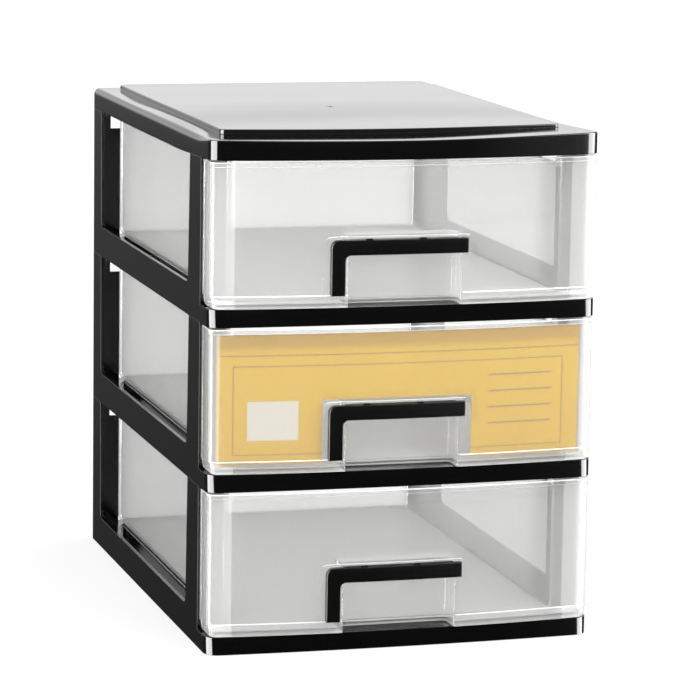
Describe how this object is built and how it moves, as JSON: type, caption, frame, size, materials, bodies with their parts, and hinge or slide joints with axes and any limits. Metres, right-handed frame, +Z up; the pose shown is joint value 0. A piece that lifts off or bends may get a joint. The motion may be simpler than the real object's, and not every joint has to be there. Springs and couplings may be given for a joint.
{
  "type": "stackable drawer box",
  "caption": "Free-standing drawer box for paper, crafts and small parts: clear pull-out trays with offset grips in stacked black open frames under a flat top panel.",
  "frame": {"origin": "centre of the footprint, on the surface the box stands on", "axes": "+Z up, -Y out of the drawer fronts (towards the user), +X to the right seen from the front"},
  "size_m": [0.27, 0.3796, 0.348],
  "materials": {
    "black_plastic": "satin black moulded plastic",
    "handle_plastic": "satin black moulded plastic",
    "clear_plastic": "clear, slightly milky moulded plastic",
    "yellow_card": "printed yellow paper card"
  },
  "bodies": {
    "frame": {"top_panel": "black_plastic", "tier_frame_top": "black_plastic", "tier_frame_middle": "black_plastic", "tier_frame_bottom": "black_plastic"},
    "top_tray": {"drawer_top": "clear_plastic", "handle_top": "handle_plastic"},
    "middle_tray": {"drawer_middle": "clear_plastic", "handle_middle": "handle_plastic", "label_card": "yellow_card"},
    "bottom_tray": {"drawer_bottom": "clear_plastic", "handle_bottom": "handle_plastic"}
  },
  "joints": [
    {"name": "top_drawer_slide", "type": "slide", "parent": "frame", "child": "top_tray", "axis": [0, -1, 0], "range_m": [0, 0.25]},
    {"name": "middle_drawer_slide", "type": "slide", "parent": "frame", "child": "middle_tray", "axis": [0, -1, 0], "range_m": [0, 0.25]},
    {"name": "bottom_drawer_slide", "type": "slide", "parent": "frame", "child": "bottom_tray", "axis": [0, -1, 0], "range_m": [0, 0.25]}
  ]
}
